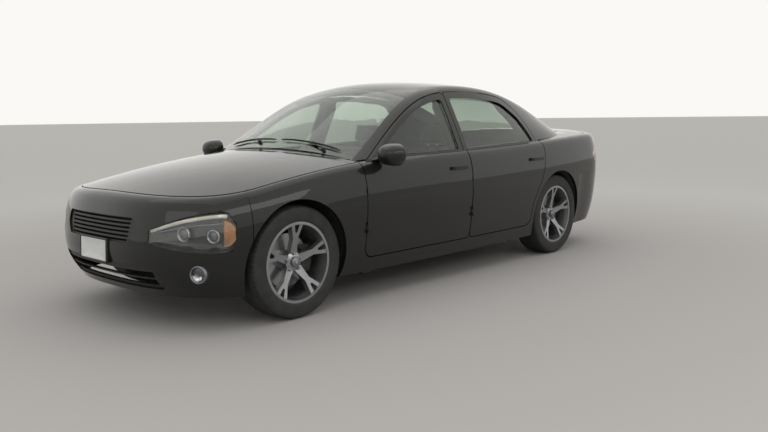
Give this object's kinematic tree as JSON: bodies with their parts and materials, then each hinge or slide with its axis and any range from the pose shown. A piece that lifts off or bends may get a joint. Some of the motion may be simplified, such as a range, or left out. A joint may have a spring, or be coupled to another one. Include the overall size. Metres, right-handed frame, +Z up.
{
  "type": "four-door sedan car",
  "caption": "Four-door sedan with a short nose, a low arched roof that runs into a short deck, spoked alloy wheels, and hinged doors, hood and trunk lid.",
  "frame": {"origin": "on the floor, under the middle of the bounding box", "axes": "+Z up, the nose points along -Y, +X is the left side of the car"},
  "size_m": [2.0936, 4.7202, 1.4403],
  "materials": {
    "paint": "gloss",
    "underbody": "matte",
    "black_plastic": "matte",
    "trim_plastic": "matte",
    "lamp_clear": "gloss",
    "lamp_red": "gloss",
    "glass": "gloss",
    "aluminium": "satin",
    "alloy": "satin",
    "steel": "satin",
    "iron": "matte",
    "upholstery": "matte",
    "tyre": "matte"
  },
  "bodies": {
    "body": {"body_side_left": "paint", "body_side_right": "paint", "roof_panel": "paint", "floor_pan": "underbody", "front_structure": "underbody", "rear_shelf": "paint", "front_fender_left": "paint", "front_fender_right": "paint", "front_bumper": "paint", "rear_bumper": "paint", "front_grille": "black_plastic", "headlamps": "lamp_clear", "tail_lamps": "lamp_red", "cowl_panel": "black_plastic", "windshield": "glass", "rear_window": "glass", "engine_block": "aluminium", "exhaust": "steel", "fuel_tank": "black_plastic", "front_suspension": "iron", "rear_suspension": "iron", "front_seats": "upholstery", "rear_seat": "upholstery", "dashboard": "trim_plastic", "center_console": "trim_plastic"},
    "hood": {"hood": "paint"},
    "trunk_lid": {"trunk_lid": "paint"},
    "front_left_door": {"front_door_left": "paint", "front_door_glass_left": "glass", "mirror_left": "paint"},
    "front_right_door": {"front_door_right": "paint", "front_door_glass_right": "glass", "mirror_right": "paint"},
    "rear_left_door": {"rear_door_left": "paint", "rear_door_glass_left": "glass"},
    "rear_right_door": {"rear_door_right": "paint", "rear_door_glass_right": "glass"},
    "steering_wheel": {"steering_wheel": "trim_plastic"},
    "knuckle_left": {"front_knuckle_left": "iron"},
    "knuckle_right": {"front_knuckle_right": "iron"},
    "front_left_wheel": {"front_left_tyre": "tyre", "front_left_rim": "alloy"},
    "front_right_wheel": {"front_right_tyre": "tyre", "front_right_rim": "alloy"},
    "rear_left_wheel": {"rear_left_tyre": "tyre", "rear_left_rim": "alloy"},
    "rear_right_wheel": {"rear_right_tyre": "tyre", "rear_right_rim": "alloy"}
  },
  "joints": [
    {"name": "front_left_door_hinge", "type": "hinge", "parent": "body", "child": "front_left_door", "pos_m": [0.90874, -1.0135, 0.75], "axis": [0, 0, -1], "range_deg": [0, 65]},
    {"name": "rear_left_door_hinge", "type": "hinge", "parent": "body", "child": "rear_left_door", "pos_m": [0.9157, 0.0735, 0.75], "axis": [0, 0, -1], "range_deg": [0, 65]},
    {"name": "front_right_door_hinge", "type": "hinge", "parent": "body", "child": "front_right_door", "pos_m": [-0.90874, -1.0135, 0.75], "axis": [0, 0, 1], "range_deg": [0, 65]},
    {"name": "rear_right_door_hinge", "type": "hinge", "parent": "body", "child": "rear_right_door", "pos_m": [-0.9157, 0.0735, 0.75], "axis": [0, 0, 1], "range_deg": [0, 65]},
    {"name": "hood_hinge", "type": "hinge", "parent": "body", "child": "hood", "pos_m": [0, -1.02188, 0.90637], "axis": [-1, 0, 0], "range_deg": [0, 55]},
    {"name": "trunk_hinge", "type": "hinge", "parent": "body", "child": "trunk_lid", "pos_m": [0, 1.85732, 1.04671], "axis": [1, 0, 0], "range_deg": [0, 75]},
    {"name": "steer_left", "type": "hinge", "parent": "body", "child": "knuckle_left", "pos_m": [0.7005, -1.55, 0.335], "axis": [0, 0, 1], "range_deg": [-33, 33]},
    {"name": "steer_right", "type": "hinge", "parent": "body", "child": "knuckle_right", "pos_m": [-0.7005, -1.55, 0.335], "axis": [0, 0, 1], "range_deg": [-33, 33]},
    {"name": "steering_column", "type": "hinge", "parent": "body", "child": "steering_wheel", "pos_m": [0.366, -0.54752, 0.7704], "axis": [0, 0.9063, 0.4226], "range_deg": [-462, 462]},
    {"name": "front_left_wheel_spin", "type": "hinge", "parent": "knuckle_left", "child": "front_left_wheel", "pos_m": [0.7645, -1.55, 0.335], "axis": [1, 0, 0], "continuous": true},
    {"name": "front_right_wheel_spin", "type": "hinge", "parent": "knuckle_right", "child": "front_right_wheel", "pos_m": [-0.7645, -1.55, 0.335], "axis": [1, 0, 0], "continuous": true},
    {"name": "rear_left_wheel_spin", "type": "hinge", "parent": "body", "child": "rear_left_wheel", "pos_m": [0.7645, 1.31, 0.335], "axis": [1, 0, 0], "continuous": true},
    {"name": "rear_right_wheel_spin", "type": "hinge", "parent": "body", "child": "rear_right_wheel", "pos_m": [-0.7645, 1.31, 0.335], "axis": [1, 0, 0], "continuous": true}
  ],
  "couplings": [
    {"joint": "steer_right", "follows": "steer_left", "ratio": 1},
    {"joint": "steering_column", "follows": "steer_left", "ratio": 14}
  ]
}
